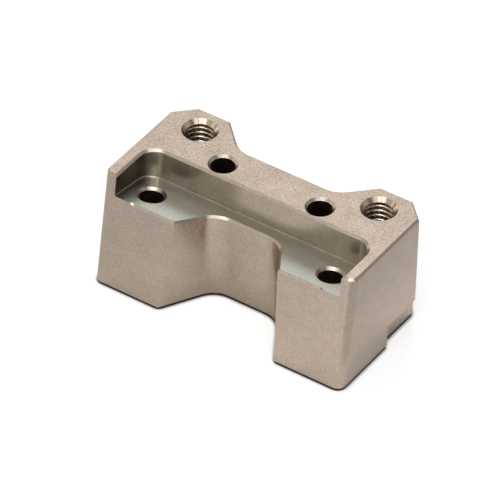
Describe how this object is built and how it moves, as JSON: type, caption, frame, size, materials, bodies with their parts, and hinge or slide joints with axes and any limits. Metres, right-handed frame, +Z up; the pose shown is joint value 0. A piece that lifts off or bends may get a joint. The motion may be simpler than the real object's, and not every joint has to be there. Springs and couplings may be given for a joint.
{
  "type": "machined mounting block",
  "caption": "Milled metal mounting block with a sloping stepped seat, recesses front and rear, threaded ears and plain bolt holes.",
  "frame": {"origin": "centre of the bounding box at the base face", "axes": "+X along the block's length, +Y from the legs to the ears (rear), +Z up from the base to the top face"},
  "size_m": [0.05, 0.0262, 0.022],
  "materials": {
    "milled_steel": "satin milled"
  },
  "bodies": {
    "root": {"mounting_block": "milled_steel"}
  },
  "joints": []
}
